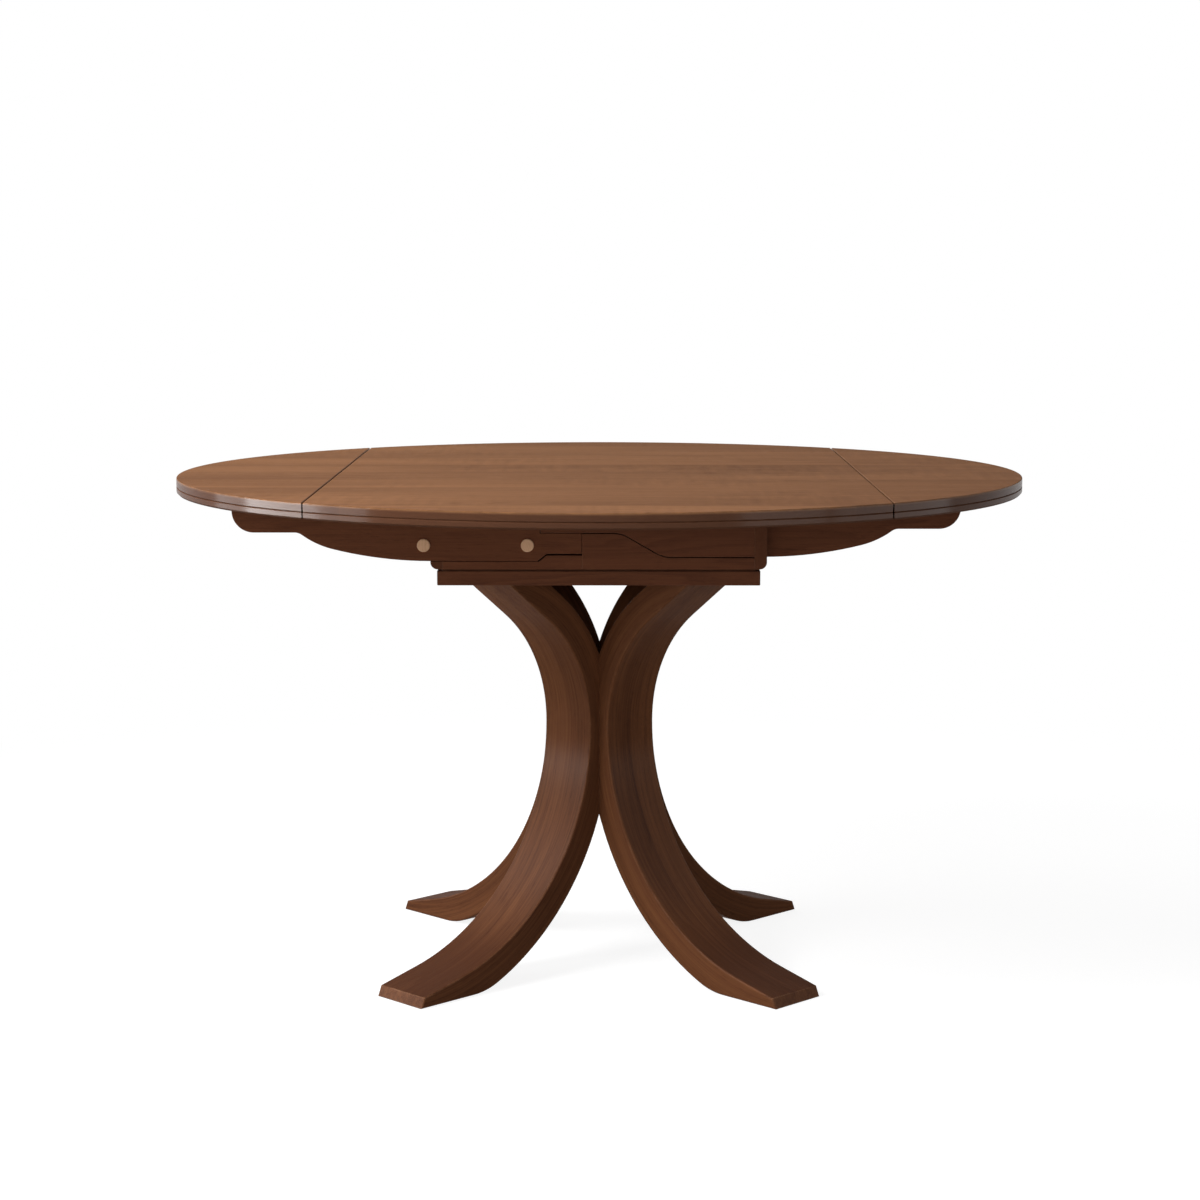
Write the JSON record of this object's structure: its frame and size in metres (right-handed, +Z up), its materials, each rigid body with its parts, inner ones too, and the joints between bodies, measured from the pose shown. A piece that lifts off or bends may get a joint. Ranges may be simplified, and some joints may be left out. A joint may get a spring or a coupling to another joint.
{
  "type": "extending dining table",
  "caption": "Round pedestal dining table whose end leaves pull out on wooden slides; curved splayed legs under a square plate and slide box.",
  "frame": {"origin": "on the floor, on the pedestal's upright axis, under the middle of the round top", "axes": "+Z up; X along the extension, the leaves pull out along -X and +X; -Y is the front that the picture shows"},
  "size_m": [1.2998, 1.2996, 0.765],
  "materials": {
    "top_wood": "satin brown stain, long straight grain",
    "leg_wood": "satin dark brown stain",
    "box_wood": "satin dark brown stain",
    "maple": "clear matt finish on pale wood",
    "steel": "zinc plated",
    "glide": "moulded, matt"
  },
  "bodies": {
    "base": {"box_bearer_front": "box_wood", "box_bearer_rear": "box_wood", "box_board_front": "box_wood", "box_board_rear": "box_wood", "box_end_rail_left": "box_wood", "box_end_rail_right": "box_wood", "box_infill_front": "box_wood", "box_infill_rear": "box_wood", "box_sill_front": "box_wood", "box_sill_rear": "box_wood", "corner_block_1": "box_wood", "corner_block_2": "box_wood", "corner_block_3": "box_wood", "corner_block_4": "box_wood", "foot_glide_front_left": "glide", "foot_glide_front_right": "glide", "foot_glide_rear_left": "glide", "foot_glide_rear_right": "glide", "leg_bolts_front_left": "steel", "leg_bolts_front_right": "steel", "leg_bolts_rear_left": "steel", "leg_bolts_rear_right": "steel", "leg_front_left": "leg_wood", "leg_front_right": "leg_wood", "leg_rear_left": "leg_wood", "leg_rear_right": "leg_wood", "pedestal_core": "leg_wood", "pedestal_plate": "box_wood", "plate_screws": "steel", "runner_stops_front": "maple", "runner_stops_rear": "maple", "top_centre_panel": "top_wood", "top_screws": "steel"},
    "left_leaf": {"left_alignment_pins": "maple", "left_inner_arm": "box_wood", "left_inner_closing_peg": "maple", "left_inner_stop_peg": "maple", "left_leaf_batten": "box_wood", "left_leaf_panel": "top_wood", "left_leaf_screws": "steel", "left_outer_arm": "box_wood", "left_outer_closing_peg": "maple", "left_outer_stop_peg": "maple"},
    "right_leaf": {"right_alignment_pins": "maple", "right_inner_arm": "box_wood", "right_inner_closing_peg": "maple", "right_inner_stop_peg": "maple", "right_leaf_batten": "box_wood", "right_leaf_panel": "top_wood", "right_leaf_screws": "steel", "right_outer_arm": "box_wood", "right_outer_closing_peg": "maple", "right_outer_stop_peg": "maple"},
    "left_runners": {"left_inner_runner": "box_wood", "left_outer_runner": "box_wood"},
    "right_runners": {"right_inner_runner": "box_wood", "right_outer_runner": "box_wood"}
  },
  "joints": [
    {"name": "left_leaf_slide", "type": "slide", "parent": "base", "child": "left_leaf", "axis": [-1, 0, 0], "range_m": [0, 0.3]},
    {"name": "right_leaf_slide", "type": "slide", "parent": "base", "child": "right_leaf", "axis": [1, 0, 0], "range_m": [0, 0.3]},
    {"name": "left_runner_slide", "type": "slide", "parent": "base", "child": "left_runners", "axis": [-1, 0, 0], "range_m": [0, 0.21]},
    {"name": "right_runner_slide", "type": "slide", "parent": "base", "child": "right_runners", "axis": [1, 0, 0], "range_m": [0, 0.21]}
  ],
  "couplings": [
    {"joint": "left_runner_slide", "follows": "left_leaf_slide", "ratio": 0.7},
    {"joint": "right_runner_slide", "follows": "right_leaf_slide", "ratio": 0.7}
  ]
}
